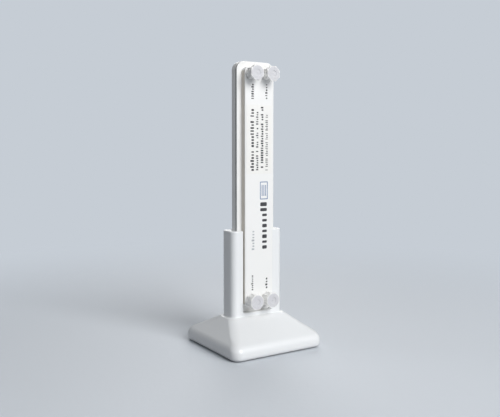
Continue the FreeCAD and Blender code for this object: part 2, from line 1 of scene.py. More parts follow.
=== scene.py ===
# %% [markdown]
# # A filter cassette in its stand
# The object is a slim white filter cassette with four capped ports on its face. It stands upright
# in the open channel of a one-piece moulded stand. The solids come from the CAD model, which
# Blender never moves or reshapes. What is left for Blender is what CAD doesn't carry: the finish
# of each plastic, the print, the grip of the small caps, the base's soft rim, and the light.

import json
import math
from functools import partial

import bmesh
import bpy
from mathutils import Matrix, Vector


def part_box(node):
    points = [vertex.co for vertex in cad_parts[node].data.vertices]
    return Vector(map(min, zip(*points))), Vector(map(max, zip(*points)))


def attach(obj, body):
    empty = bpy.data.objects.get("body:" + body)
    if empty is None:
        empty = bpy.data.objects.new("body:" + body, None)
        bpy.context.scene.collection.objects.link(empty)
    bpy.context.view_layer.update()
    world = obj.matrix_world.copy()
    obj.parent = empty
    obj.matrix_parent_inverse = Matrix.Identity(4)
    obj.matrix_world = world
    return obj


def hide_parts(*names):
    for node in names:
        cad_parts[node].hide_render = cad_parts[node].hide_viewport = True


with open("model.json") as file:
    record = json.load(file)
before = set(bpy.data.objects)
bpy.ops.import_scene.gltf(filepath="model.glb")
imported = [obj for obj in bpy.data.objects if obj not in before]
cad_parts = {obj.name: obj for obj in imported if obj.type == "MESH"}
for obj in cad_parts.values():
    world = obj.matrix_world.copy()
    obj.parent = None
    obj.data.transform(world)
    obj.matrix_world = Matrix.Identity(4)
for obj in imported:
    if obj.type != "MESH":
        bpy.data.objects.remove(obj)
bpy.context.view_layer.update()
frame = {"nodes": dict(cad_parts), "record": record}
scene = bpy.context.scene
MM = 0.001
SAME_PLACE = 1e-6  # points closer than this, in metres, are one

# %% [markdown]
# ## The places that pieces are set against
# A piece that lies on another one takes its place from that one's box, so nothing floats and
# nothing sinks in. The print lies on the raised block of the front cover, the label's print on the
# label film, and each cap on its own port.

# %% Read the places from the solids
block_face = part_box("label")[1].y
film_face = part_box("label")[0].y
CAPS = ("feed_cap", "retentate_cap", "permeate_cap_low", "permeate_cap_high")


def middle(node):
    """The middle of a node's box."""
    low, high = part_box(node)
    return (low + high) / 2


for cap in CAPS:
    print(cap, [round(c / MM, 2) for c in middle(cap)])
print("block face at y =", round(block_face / MM, 2), "mm")

# %% [markdown]
# ## Small helpers
# These helpers hold the steps that repeat. A node's inputs are given by name, and each takes a
# number, a colour or the output of another node.

# %% Helpers for objects and meshes


def link_object(name, data):
    """A new object at the origin, in the scene."""
    thing = bpy.data.objects.new(name, data)
    scene.collection.objects.link(thing)
    return thing


def aim(thing, place, direction):
    """Puts a camera or a lamp in its place and turns it to look in a direction."""
    thing.location = place
    thing.rotation_mode = "QUATERNION"
    thing.rotation_quaternion = direction.to_track_quat("-Z", "Y")


def close_mesh(work, name):
    """Makes a mesh from the work and frees the work."""
    mesh = bpy.data.meshes.new(name)
    work.to_mesh(mesh)
    work.free()
    return mesh


def in_fixed_order(work):
    """Sorts points and faces by place, so that every run makes the same mesh."""
    by_place = sorted(work.verts, key=lambda vert: tuple(vert.co))
    rank = {vert: index for index, vert in enumerate(by_place)}
    by_corners = sorted(work.faces, key=lambda face: sorted(rank[vert] for vert in face.verts))
    work.verts.sort(key=rank.get)
    work.faces.sort(key={face: index for index, face in enumerate(by_corners)}.get)


# %% Helpers for node trees


def feed(tree, socket, value):
    """Links a socket to an output, or sets it to a value."""
    if isinstance(value, bpy.types.NodeSocket):
        tree.links.new(value, socket)
    elif socket.type == "RGBA":
        socket.default_value = (*value[:3], 1.0)
    else:
        socket.default_value = value


def add_node(tree, kind, inputs=None, **settings):
    """A new node; inputs maps its sockets to values or to other nodes' outputs."""
    made = tree.nodes.new(kind)
    for prop, value in settings.items():
        setattr(made, prop, value)
    for label, value in (inputs or {}).items():
        feed(tree, made.inputs[label], value)
    return made


def result(tree, kind, inputs=None, **settings):
    """The first output of a new node."""
    return add_node(tree, kind, inputs, **settings).outputs[0]


def math_node(tree, operation, first, second=0.0):
    """The result of one operation; some have no use for a second value."""
    return result(tree, "ShaderNodeMath", {0: first, 1: second}, operation=operation)


def hypotenuse(tree, first, second):
    """The long side of a triangle whose short sides meet at a right angle."""
    calc = partial(math_node, tree)
    squares = calc("ADD", calc("MULTIPLY", first, first), calc("MULTIPLY", second, second))
    return calc("SQRT", squares)


def axes(tree, place):
    """The three coordinates of a place."""
    split = add_node(tree, "ShaderNodeSeparateXYZ", {0: place})
    return [split.outputs[axis] for axis in "XYZ"]


def vector(tree, x=0.0, y=0.0, z=0.0):
    return result(tree, "ShaderNodeCombineXYZ", {"X": x, "Y": y, "Z": z})


def object_place(tree):
    """A surface's own place in metres, which stays with it when it moves."""
    return add_node(tree, "ShaderNodeTexCoord").outputs["Object"]


def noise(tree, place, scale, detail=3.0, roughness=0.55):
    """Uneven heights from 0 to 1."""
    inputs = {"Vector": place, "Scale": scale, "Detail": detail, "Roughness": roughness}
    return result(tree, "ShaderNodeTexNoise", inputs)


def ramp(tree, value, low, high):
    """0 below low, 1 above high, smooth between."""
    inputs = {"Value": value, "From Min": low, "From Max": high}
    return result(tree, "ShaderNodeMapRange", inputs, interpolation_type="SMOOTHSTEP")


def blend_values(tree, mask, low, high):
    """low where the mask is 0, high where it is 1."""
    inputs = {"Value": mask, "To Min": low, "To Max": high}
    return result(tree, "ShaderNodeMapRange", inputs)


def blend_colours(tree, mask, under, over):
    """under where the mask is 0, over where it is 1."""
    made = add_node(tree, "ShaderNodeMix", {"Factor": mask}, data_type="RGBA")
    colours = [socket for socket in made.inputs if socket.type == "RGBA"]
    feed(tree, colours[0], under)
    feed(tree, colours[1], over)
    return next(socket for socket in made.outputs if socket.type == "RGBA")


def mix_shaders(tree, share, under, over):
    """under where the share is 0, over where it is 1."""
    return result(tree, "ShaderNodeMixShader", {"Fac": share, 1: under, 2: over})


# %% [markdown]
# ## Camera
# The photograph looks slightly down on the object from its front left, about 32 degrees round
# from straight in front. The upright edges stay parallel in it, so the camera stands almost level,
# and a small shift moves the object up in the picture.

# %% Camera
CAMERA_AT = Vector((-0.28662, -0.44851, 0.15645))
CAMERA_LOOKS = Vector((0.53405, 0.84346, -0.05800))
FOCAL_LENGTH = 47.893  # in millimetres, as the sensor's width
SENSOR_WIDTH = 36.0
SHIFT_UP = -0.04

camera_data = bpy.data.cameras.new("camera")
camera_data.lens = FOCAL_LENGTH
camera_data.sensor_width = SENSOR_WIDTH
camera_data.shift_y = SHIFT_UP
camera = link_object("camera", camera_data)
aim(camera, CAMERA_AT, CAMERA_LOOKS)
scene.camera = camera
print("camera distance, mm:", round(CAMERA_AT.length / MM))

# %% [markdown]
# ## Floor and backdrop
# One sheet makes both: flat under the object, then bent up behind it in a wide curve, as a studio
# sweep is, so no horizon line shows. It is built from a side profile that is pulled out sideways.
# Its colour is a pale blue-grey, because a white object is only seen against something darker.

# %% Floor
FLOOR_HALF, SWEEP_BACK, SWEEP_RADIUS = 2.5, 2.2, 0.9  # in metres
SWEEP_STEPS = 24


def sweep_profile():
    """Points of the sweep's side view, as y and z, from the front to the top of the backdrop."""
    points = [(-FLOOR_HALF, 0.0)]
    for step in range(SWEEP_STEPS + 1):
        turn = math.pi / 2 * step / SWEEP_STEPS
        y = SWEEP_BACK - SWEEP_RADIUS + SWEEP_RADIUS * math.sin(turn)
        points.append((y, SWEEP_RADIUS - SWEEP_RADIUS * math.cos(turn)))
    points.append((SWEEP_BACK, FLOOR_HALF))
    return points


def make_sweep():
    profile = sweep_profile()
    mesh = bpy.data.meshes.new("floor")
    verts = [(side * FLOOR_HALF, y, z) for side in (-1, 1) for y, z in profile]
    count = len(profile)
    faces = [(i, i + count, i + count + 1, i + 1) for i in range(count - 1)]
    mesh.from_pydata(verts, [], faces)
    mesh.shade_smooth()
    sweep = link_object("floor", mesh)
    return sweep


floor = make_sweep()
print("floor faces:", len(floor.data.polygons))

# %% [markdown]
# ## Light
# In the photograph the faces that look at the viewer are bright, and the left faces fall into an
# even shade. A big soft key lamp in front, a little to the right, does that. Three weaker lamps
# draw the edges: one behind on the left, one above, and one behind on the right. The world fills
# the shade with a faint light, and shows the backdrop's colour where a ray meets nothing.

# %% Lamps and world
BACKDROP = (0.565, 0.61, 0.665)
FILL_COLOUR = (0.90, 0.95, 1.0)
FILL_STRENGTH = 0.105
LAMPS = (
    # name, place, size across in metres, power in watts
    ("key_lamp", (0.20, -1.48, 1.02), 1.15, 28.5),
    ("edge_lamp", (-1.35, 0.95, 0.7), 0.9, 2.2),
    ("top_lamp", (0.25, 0.1, 1.8), 1.0, 2.2),
    ("back_lamp", (0.85, 1.45, 0.95), 1.3, 9.5),
)
LOOK_POINT = Vector((0.0, 0.0, 0.11))

for name, place, size, power in LAMPS:
    lamp_data = bpy.data.lights.new(name, "AREA")
    lamp_data.shape = "DISK"
    lamp_data.size = size
    lamp_data.energy = power
    lamp = link_object(name, lamp_data)
    lamp.visible_camera = False
    aim(lamp, place, LOOK_POINT - Vector(place))

scene.view_settings.view_transform = "Standard"


def make_world():
    """A world that fills the shade, and shows the backdrop's colour to the eye."""
    world = bpy.data.worlds.new("studio")
    world.use_nodes = True
    tree = world.node_tree
    tree.nodes.clear()
    rays = add_node(tree, "ShaderNodeLightPath").outputs
    shown = math_node(tree, "MAXIMUM", rays["Is Camera Ray"], rays["Is Transmission Ray"])
    shown = math_node(tree, "MAXIMUM", shown, rays["Is Glossy Ray"])
    fill = {"Color": FILL_COLOUR, "Strength": FILL_STRENGTH}
    soft = result(tree, "ShaderNodeBackground", fill)
    pale = result(tree, "ShaderNodeBackground", {"Color": BACKDROP, "Strength": 1.0})
    mixed = mix_shaders(tree, shown, soft, pale)
    add_node(tree, "ShaderNodeOutputWorld", {"Surface": mixed})
    return world


scene.world = make_world()
print("lamps:", ", ".join(name for name, *_ in LAMPS))

# %% [markdown]
# ## Effects that several materials share
# Every plastic here came out of a mould, so each has the same two kinds of unevenness: a fine skin
# that breaks up the gloss, and soft marks from handling. The sheets inside share a third effect, a
# weave. Each is one node group with its own sizes, placed in every material that needs it. A group
# hands on only masks and heights; the shader stays in the material.

# %% A maker for node groups


def new_group(name, inputs, outputs):
    """A group that takes a place and named numbers, and gives named numbers."""
    tree = bpy.data.node_groups.new(name, "ShaderNodeTree")
    add_socket = tree.interface.new_socket
    add_socket(name="Place", in_out="INPUT", socket_type="NodeSocketVector")
    for label, value in inputs.items():
        socket = add_socket(name=label, in_out="INPUT", socket_type="NodeSocketFloat")
        socket.default_value = value
    for label in outputs:
        add_socket(name=label, in_out="OUTPUT", socket_type="NodeSocketFloat")
    return tree, add_node(tree, "NodeGroupInput").outputs, add_node(tree, "NodeGroupOutput").inputs


# %% The skin of a moulding
def make_mould_skin():
    """Tone drifts slowly over the part, Gloss breaks up the shine, Skin is the fine height."""
    sizes = {"Grain": 900.0, "Drift": 18.0}
    tree, came, goes = new_group("mould_skin", sizes, ("Tone", "Gloss", "Skin"))
    place = came["Place"]
    fine = noise(tree, place, came["Grain"], detail=4.0, roughness=0.6)
    slow = noise(tree, place, came["Drift"], detail=2.0, roughness=0.45)
    between = noise(tree, place, math_node(tree, "MULTIPLY", came["Drift"], 9.0))
    sink = math_node(tree, "MULTIPLY", between, 0.4)
    feed(tree, goes["Tone"], ramp(tree, slow, 0.32, 0.68))
    feed(tree, goes["Gloss"], ramp(tree, between, 0.30, 0.72))
    feed(tree, goes["Skin"], math_node(tree, "ADD", fine, sink))
    return tree


mould_skin = make_mould_skin()
print("group:", mould_skin.name, [s.name for s in mould_skin.interface.items_tree])

# %% Marks of handling
SCUFF_TURN = (0.35, 0.2, 0.0)
SCUFF_STRETCH = (1.0, 1.0, 0.09)


def make_handling():
    """Smudge is where fingers left the surface duller; Scuff is short faint scratches."""
    sizes = {"Smudge Size": 34.0, "Scuff Size": 260.0}
    tree, came, goes = new_group("handling", sizes, ("Smudge", "Scuff"))
    patches = noise(tree, came["Place"], came["Smudge Size"], detail=5.0, roughness=0.62)
    inputs = {"Vector": came["Place"], "Rotation": SCUFF_TURN, "Scale": SCUFF_STRETCH}
    drawn_out = result(tree, "ShaderNodeMapping", inputs)
    lines = noise(tree, drawn_out, came["Scuff Size"], detail=2.0, roughness=0.5)
    feed(tree, goes["Smudge"], ramp(tree, patches, 0.50, 0.85))
    feed(tree, goes["Scuff"], ramp(tree, lines, 0.70, 0.80))
    return tree


handling = make_handling()
print("group:", handling.name, [s.name for s in handling.interface.items_tree])

# %% A woven or porous sheet
HOLE_BELOW = 0.42


def make_weave():
    """Threads that cross over and under; Thread is their height, Hole the mask between them."""
    tree, came, goes = new_group("weave", {"Pitch": 1400.0}, ("Thread", "Hole"))
    calc = partial(math_node, tree)
    x, _, z = axes(tree, came["Place"])
    waves = [
        calc("ABSOLUTE", calc("SINE", calc("MULTIPLY", along, came["Pitch"]))) for along in (x, z)
    ]
    top = calc("MAXIMUM", *waves)
    feed(tree, goes["Thread"], top)
    feed(tree, goes["Hole"], calc("LESS_THAN", top, HOLE_BELOW))
    return tree


weave = make_weave()
print("group:", weave.name, [s.name for s in weave.interface.items_tree])

# %% [markdown]
# ## Materials
# The stand is a glossy white moulding, the cassette a satin one in a slightly warmer white, and the
# caps are natural, uncoloured plastic: grey and cloudy, with a painted highlight and glow at the
# rim and the collar. Each material starts from its colour and gloss, and the groups then take a
# little off both.

# %% Makers for materials


def new_material(name):
    """A new material with its tree and its shader's inputs."""
    material = bpy.data.materials.new(name)
    material.use_nodes = True
    tree = material.node_tree
    return material, tree, tree.nodes["Principled BSDF"].inputs


def place_group(tree, group, sizes=None):
    """Sets a group in a tree, on Object coordinates, and gives its outputs."""
    inputs = {"Place": object_place(tree), **(sizes or {})}
    return add_node(tree, "ShaderNodeGroup", inputs, node_tree=group).outputs


def dress(tree, shader, colour, roughness, height, depth):
    """Gives a shader its colour, its roughness and a relief; depth is in metres."""
    relief = result(tree, "ShaderNodeBump", {"Distance": depth, "Height": height})
    feed(tree, shader["Base Color"], colour)
    feed(tree, shader["Roughness"], roughness)
    feed(tree, shader["Normal"], relief)


def show_over(tree, share, other):
    """Shows another shader in place of the material's own, where the share is 1."""
    mixed = mix_shaders(tree, share, tree.nodes["Principled BSDF"].outputs[0], other)
    feed(tree, tree.nodes["Material Output"].inputs["Surface"], mixed)


def moulded_plastic(name, light, dark, gloss, wear, grain, depth, ior):
    """A plastic with a mould's skin; the table below says what each value is."""
    material, tree, shader = new_material(name)
    calc = partial(math_node, tree)
    skin = place_group(tree, mould_skin, {"Grain": grain})
    touch = place_group(tree, handling)
    marks = [calc("MULTIPLY", touch[mark], wear) for mark in ("Smudge", "Scuff")]
    shine = blend_values(tree, skin["Gloss"], *gloss)
    roughness = calc("ADD", shine, calc("ADD", *marks))
    colour = blend_colours(tree, skin["Tone"], dark, light)
    dress(tree, shader, colour, roughness, skin["Skin"], depth)
    feed(tree, shader["IOR"], ior)
    return material


# %% The plastics
PLASTICS = (
    # name, light colour, dark colour, roughness from and to, what wear adds to it,
    # grains per metre, depth of the grain in metres, refractive index
    ("stand_plastic", (0.86, 0.875, 0.885), (0.853, 0.868, 0.879), (0.290, 0.298), 0.008,
     700.0, 3e-6, 1.54),
    ("cover_plastic", (0.905, 0.905, 0.895), (0.897, 0.897, 0.886), (0.355, 0.368), 0.01,
     1100.0, 4e-6, 1.50),
    ("cap_plastic", (0.70, 0.70, 0.72), (0.67, 0.67, 0.695), (0.26, 0.30), 0.02,
     1300.0, 3e-6, 1.49),
    ("foot_rubber", (0.040, 0.040, 0.042), (0.028, 0.028, 0.030), (0.68, 0.82), 0.05,
     1800.0, 3e-5, 1.5),
    # The seal's near-black is painted shade: it stands for the shade in the groove between the
    # covers.
    ("seal_resin", (0.036, 0.033, 0.031), (0.024, 0.022, 0.021), (0.42, 0.56), 0.05,
     1500.0, 2e-5, 1.5),
    ("label_film", (0.90, 0.895, 0.87), (0.88, 0.87, 0.84), (0.40, 0.48), 0.05,
     2600.0, 6e-6, 1.48),
)
CAP_CLOUD = {"Weight": 0.5, "Scale": 1.4 * MM, "Radius": (1.0, 1.0, 1.0)}

finish = {name: moulded_plastic(name, *values) for name, *values in PLASTICS}
cap_shader = finish["cap_plastic"].node_tree.nodes["Principled BSDF"].inputs
for label, value in CAP_CLOUD.items():
    cap_shader[f"Subsurface {label}"].default_value = value
print("plastics:", ", ".join(finish))

# %% [markdown]
# ## Painted shade and painted highlights
# The walls of the cover's raised block are painted with shade: a darker, warmer colour than the
# cover's white. The caps are cloudy; their rim and collar get a painted highlight and glow, paler
# than their face, and each wall lets half of the light through that would otherwise end in a
# shadow.
# A mask finds these places by their distances, and fades in over a narrow band.

# %% Masks for the thin places
BLOCK_HALF = 13.1 * MM
BLOCK_HEIGHT = 5.3 * MM
BLOCK_INSET = 4.5 * MM
WALL_BAND = (-0.5 * MM, -0.1 * MM)  # outwards, across the block's edge
FACE_BAND = (0.2 * MM, 0.9 * MM)  # back from the block's face
FLANGE_BAND = (BLOCK_HEIGHT - 0.5 * MM, BLOCK_HEIGHT - 0.1 * MM)
CAP_SIDE = abs(middle(CAPS[0]).x)
CAP_MIDDLE = (middle("feed_cap").z + middle("permeate_cap_high").z) / 2
CAP_RISE = abs(middle("permeate_cap_high").z - CAP_MIDDLE)
RIM_BAND = (5.0 * MM, 6.0 * MM)  # out from a cap's axis
COLLAR_BAND = (4.4 * MM, 4.8 * MM)
GRIP_BAND = (6.9 * MM, 7.3 * MM)  # out from the block's face


def beyond(tree, coordinate, reach):
    """How far a coordinate lies past a reach to either side."""
    return math_node(tree, "SUBTRACT", math_node(tree, "ABSOLUTE", coordinate), reach)


def without(tree, mask, cut):
    """The mask where the other one is 0."""
    return math_node(tree, "MULTIPLY", mask, math_node(tree, "SUBTRACT", 1.0, cut))


def block_wall_shade_mask(tree):
    """1 on the side walls of the cover's raised block, where the painted shade goes, and 0 on its
    face and on the flange.
    """
    x, y, z = axes(tree, object_place(tree))
    low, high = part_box("front_cover")
    half_length = (high.z - low.z) / 2 - BLOCK_INSET
    past_side = beyond(tree, x, BLOCK_HALF)
    up = math_node(tree, "SUBTRACT", z, (low.z + high.z) / 2)
    past_end = beyond(tree, up, half_length)
    wall = ramp(tree, math_node(tree, "MAXIMUM", past_side, past_end), *WALL_BAND)
    deep = math_node(tree, "SUBTRACT", y, block_face)
    behind_face = without(tree, ramp(tree, deep, *FACE_BAND), ramp(tree, deep, *FLANGE_BAND))
    return math_node(tree, "MULTIPLY", wall, behind_face)


def cap_rim_glow_mask(tree):
    """1 on a cap's rim and collar, where the painted highlight and glow go, and 0 on its face."""
    x, y, z = axes(tree, object_place(tree))
    up = math_node(tree, "SUBTRACT", z, CAP_MIDDLE)
    radius = hypotenuse(tree, beyond(tree, x, CAP_SIDE), beyond(tree, up, CAP_RISE))
    out = math_node(tree, "SUBTRACT", block_face, y)
    collar = without(tree, ramp(tree, radius, *COLLAR_BAND), ramp(tree, out, *GRIP_BAND))
    return math_node(tree, "MAXIMUM", ramp(tree, radius, *RIM_BAND), collar)


print("cap axes at x, mm:", round(CAP_SIDE / MM, 2), "half rise, mm:", round(CAP_RISE / MM, 2))

# %% Paint shade on the block's walls and a highlight on the caps' rims, and let light through the caps
# Painted shade: the block's walls are coloured darker and warmer than the cover's white.
PAINTED_WALL_SHADE = (0.75, 0.70, 0.62)
# Painted highlight and glow: the caps' rims and collars are coloured paler than their face.
PAINTED_RIM_GLOW = (0.93, 0.925, 0.905)
LIGHT_SHARE = 0.5


def tint(material, find_places, colour):
    """Lays a colour over the material's own, where the mask is 1."""
    tree = material.node_tree
    base = tree.nodes["Principled BSDF"].inputs["Base Color"]
    own = base.links[0].from_socket
    feed(tree, base, blend_colours(tree, find_places(tree), own, colour))


def let_light_through(material, share):
    """Lets a share of the light pass on through each wall, as cloudy plastic does."""
    tree = material.node_tree
    rays = add_node(tree, "ShaderNodeLightPath").outputs
    clear = result(tree, "ShaderNodeBsdfTransparent", {"Color": (share, share, share)})
    show_over(tree, rays["Is Shadow Ray"], clear)


tint(finish["cover_plastic"], block_wall_shade_mask, PAINTED_WALL_SHADE)
tint(finish["cap_plastic"], cap_rim_glow_mask, PAINTED_RIM_GLOW)
let_light_through(finish["cap_plastic"], LIGHT_SHARE)
print("tinted: cover_plastic, cap_plastic")

# %% [markdown]
# ## The sheets inside
# The screens are coarse cloth and the membranes a very fine one; the holes between the threads get
# a darker colour, which is painted shade. The covers hide both.

# %% The sheets inside


def woven_sheet(name, light, dark, pitch, depth):
    """Cloth in one colour, with painted shade in another colour in its holes; pitch sets how fine
    it is.
    """
    material, tree, shader = new_material(name)
    cloth = place_group(tree, weave, {"Pitch": pitch})
    colour = blend_colours(tree, cloth["Hole"], light, dark)
    roughness = blend_values(tree, cloth["Thread"], 0.75, 0.5)
    dress(tree, shader, colour, roughness, cloth["Thread"], depth)
    return material


SHEETS = (
    # name, colour of the threads, colour of the painted shade in the holes, pitch, depth in metres
    ("screen_plastic", (0.80, 0.80, 0.78), (0.25, 0.25, 0.25), 4200.0, 2e-4),
    ("membrane_film", (0.84, 0.83, 0.80), (0.74, 0.73, 0.70), 21000.0, 1e-5),
)
finish.update({name: woven_sheet(name, *values) for name, *values in SHEETS})
print("sheets:", ", ".join(name for name, *_ in SHEETS))

# %% [markdown]
# ## The floor's paint
# The floor is matt paint with a slow drift and a fine relief. The camera sees it pale, while the
# object gets less light back from it than such a pale floor would send, which keeps its lower
# faces in shade. Some way behind the object the floor fades into the backdrop's even colour.

# %% Floor material
FADE_BAND = (0.09, 0.60)  # in metres from the object's foot
FLOOR_PALE = ((0.65, 0.69, 0.735), (0.69, 0.725, 0.77))
FLOOR_DIM = (0.42, 0.44, 0.47)
FLOOR_DRIFT, FLOOR_GRAIN = 1.4, 240.0  # per metre
FLOOR_RELIEF = 0.1 * MM


def make_floor_material():
    material, tree, shader = new_material("floor_paint")
    place = object_place(tree)
    seen = add_node(tree, "ShaderNodeLightPath").outputs["Is Camera Ray"]
    pale = blend_colours(tree, noise(tree, place, FLOOR_DRIFT, detail=2.0), *FLOOR_PALE)
    fine = noise(tree, place, FLOOR_GRAIN)
    colour = blend_colours(tree, seen, FLOOR_DIM, pale)
    dress(tree, shader, colour, blend_values(tree, fine, 0.55, 0.70), fine, FLOOR_RELIEF)
    distance = add_node(tree, "ShaderNodeVectorMath", {0: place}, operation="LENGTH")
    far = ramp(tree, distance.outputs["Value"], *FADE_BAND)
    even = result(tree, "ShaderNodeEmission", {"Color": BACKDROP})
    show_over(tree, math_node(tree, "MULTIPLY", far, seen), even)
    return material


floor.data.materials.append(make_floor_material())
print("materials:", len(bpy.data.materials))

# %% [markdown]
# ## Finishes on the CAD nodes
# Most solids already have the right shape, so they keep it and only get their finish. Each node
# takes the material of its slot in the record.

# %% Give each node its finish
slot_of = {part["node"]: part["material_slot"] for part in frame["record"]["subparts"]}
for node, thing in frame["nodes"].items():
    thing.data.materials.clear()
    thing.data.materials.append(finish[slot_of[node]])
print("finished nodes:", len(frame["nodes"]))

# %% [markdown]
# ## The base's soft rim
# The moulding's rim is rounder than the solid's fillet, and its foot rolls under. So a copy of the
# stand stands in for it. Near the rim its points slide away from the sharp line that the fillet
# took off, which makes the fillet larger and leaves the flat faces beside it flat. The foot gets
# rows of its own, and they move in along a quarter of an ellipse.

# %% Which points belong to the rim and the foot
BASE_CORNER = 7.0 * MM
RIM_LINE = 9.8 * MM  # the height at which skirt and slope would meet without a fillet
RIM_GROWTH = 1.87
RIM_NEAR, RIM_FAR = 2.35 * MM, 8.6 * MM
FOOT_IN, FOOT_UP, FOOT_ROWS = 2.2 * MM, 3.4 * MM, 8
WALL_SLACK = 0.02 * MM
SKIRT_DEPTH = 1.9 * MM  # the hollow's skin lies deeper
SLOPE_RISE, SLOPE_DEPTH = 0.43, 1.2 * MM  # of a line between the slope's skin and the hollow's
FACES_UP = 0.3
base_low, base_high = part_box("stand")


def nearest_side(point):
    """How far in a point is from the base's outline, seen from above, and which way is out."""
    across = abs(point.x) - base_high.x + BASE_CORNER
    along = abs(point.y) - base_high.y + BASE_CORNER
    side, end = math.copysign(1, point.x), math.copysign(1, point.y)
    if across > 0 and along > 0:
        out = Vector((side * across, end * along, 0.0))
        return BASE_CORNER - out.length, out.normalized()
    if across > along:
        return BASE_CORNER - across, Vector((side, 0.0, 0.0))
    return BASE_CORNER - along, Vector((0.0, end, 0.0))


def on_outer_skin(vert, inward):
    """True for a point of the outside, not of the hollow under it."""
    above = vert.co.z > RIM_LINE + SLOPE_RISE * inward - SLOPE_DEPTH
    return inward < SKIRT_DEPTH or (above and vert.normal.z > FACES_UP)


def wall_faces(work):
    """The skirt's upright outer faces."""
    return [f for f in work.faces if all(nearest_side(v.co)[0] < WALL_SLACK for v in f.verts)]


print("base, mm:", [round(c / MM, 1) for c in base_high - base_low])

# %% Grow the rim and roll the foot


def grow_rim(work):
    """Slides the points near the rim's sharp line away from it; gives their number."""
    wide = RIM_NEAR * RIM_GROWTH
    moved = 0
    for vert in work.verts:
        inward, out = nearest_side(vert.co)
        reach = math.hypot(inward, vert.co.z - RIM_LINE)
        if reach >= RIM_FAR or reach == 0 or not on_outer_skin(vert, inward):
            continue
        if reach <= RIM_NEAR:
            wanted = reach * RIM_GROWTH
        else:
            wanted = wide + (reach - RIM_NEAR) * (RIM_FAR - wide) / (RIM_FAR - RIM_NEAR)
        share = wanted / reach - 1
        vert.co += Vector((0.0, 0.0, vert.co.z - RIM_LINE)) * share - out * inward * share
        moved += 1
    return moved


def cut_foot_rows(work):
    """Cuts level rows into the foot of the skirt, closer together towards the floor."""
    for row in range(1, FOOT_ROWS + 1):
        height = base_low.z + FOOT_UP * (1 - math.cos(math.pi / 2 * row / FOOT_ROWS))
        wall = wall_faces(work)
        around = [item for face in wall for item in (*face.edges, *face.verts)]
        bmesh.ops.bisect_plane(
            work, geom=wall + list(dict.fromkeys(around)), dist=SAME_PLACE / 10,
            plane_co=(0.0, 0.0, height), plane_no=(0.0, 0.0, 1.0),
        )


def roll_foot(work, kept):
    """Moves the foot's rows in and turns their normals, which are in the layer kept."""
    wall = wall_faces(work)
    goes = {}
    for loop in (loop for face in wall for loop in face.loops):
        vert = loop.vert
        out = nearest_side(vert.co)[1]
        down = min(max(1 - (vert.co.z - base_low.z) / FOOT_UP, 0.0), 1.0)
        level = math.sqrt(1 - down * down)
        normal = out * (level / FOOT_IN) + Vector((0.0, 0.0, -down / FOOT_UP))
        loop[kept] = normal.normalized()
        goes[vert] = out * (FOOT_IN * (level - 1))
    for vert, step in goes.items():
        vert.co += step
    return len(wall)


def make_stand_moulding():
    """The stand with its rim and foot reshaped; each corner keeps its normal on the way."""
    mesh = frame["nodes"]["stand"].data.copy()
    mesh.name = "stand_moulding"
    normals = [c for corner in mesh.corner_normals for c in corner.vector]
    layer = mesh.attributes.new("kept_normal", "FLOAT_VECTOR", "CORNER")
    layer.data.foreach_set("vector", normals)
    work = bmesh.new()
    work.from_mesh(mesh)
    bmesh.ops.remove_doubles(work, verts=work.verts, dist=SAME_PLACE)
    work.normal_update()
    kept = work.loops.layers.float_vector["kept_normal"]
    print("rim points moved:", grow_rim(work))
    cut_foot_rows(work)
    print("foot faces:", roll_foot(work, kept))
    print("open edges:", sum(len(edge.link_faces) != 2 for edge in work.edges))
    work.to_mesh(mesh)
    work.free()
    normals = [Vector(item.vector) for item in mesh.attributes["kept_normal"].data]
    mesh.attributes.remove(mesh.attributes["kept_normal"])
    mesh.shade_smooth()
    mesh.normals_split_custom_set(normals)
    mesh.materials.clear()
    mesh.materials.append(finish["stand_plastic"])
    piece = link_object("stand_moulding", mesh)
    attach(piece, "stand")
    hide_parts("stand")
    return piece


stand_moulding = make_stand_moulding()
print("stand faces:", len(stand_moulding.data.polygons))

# %% [markdown]
# ## The seal's bead
# The two covers are joined by a cast resin seal. Where it meets the open air between their edges it
# swells into a low bead. Its near-black colour is painted shade: it stands for the shade in the
# groove between the covers, and makes the dark line along the cassette's side. The seal is a frame
# of one side view carried round a rounded rectangle, so it is built as a stack of such outlines.

# %% The edge seal
SEAL_SIDE_VIEW = (
    # distance in from the covers' edge in mm, share of the seal's thickness from back to front
    (0.40, 0.0), (0.22, 0.06), (0.12, 0.25), (0.08, 0.5), (0.12, 0.75), (0.22, 0.94), (0.40, 1.0),
)
SEAL_STEPS = 12
COVER_CORNER = 7.0 * MM
SHEET_CORNER = 3.0 * MM
SHEET_PLAY = 0.2 * MM
SEAL_SMOOTH_TO = math.radians(60)


def rounded_outline(width, height, radius, steps=5):
    """Points round a rectangle with round corners, anticlockwise about the origin."""
    points = []
    for turn, (side, end) in enumerate(((1, 1), (-1, 1), (-1, -1), (1, -1))):
        x, y = side * (width / 2 - radius), end * (height / 2 - radius)
        for step in range(steps + 1):
            angle = math.pi / 2 * (turn + step / steps)
            points.append((x + radius * math.cos(angle), y + radius * math.sin(angle)))
    return points


def bridge(work, ring, after):
    """Joins two rings of points by a band of faces."""
    for index in range(len(ring)):
        following = (index + 1) % len(ring)
        work.faces.new((ring[index], ring[following], after[following], after[index]))


def seal_loop(node, inset, corner, y):
    """Points round a node's upright box, set in from its sides."""
    low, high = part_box(node)
    centre, size = (low + high) / 2, high - low
    outline = rounded_outline(size.x - inset * 2, size.z - inset * 2, corner, SEAL_STEPS)
    return [(centre.x + x, y, centre.z + z) for x, z in outline]


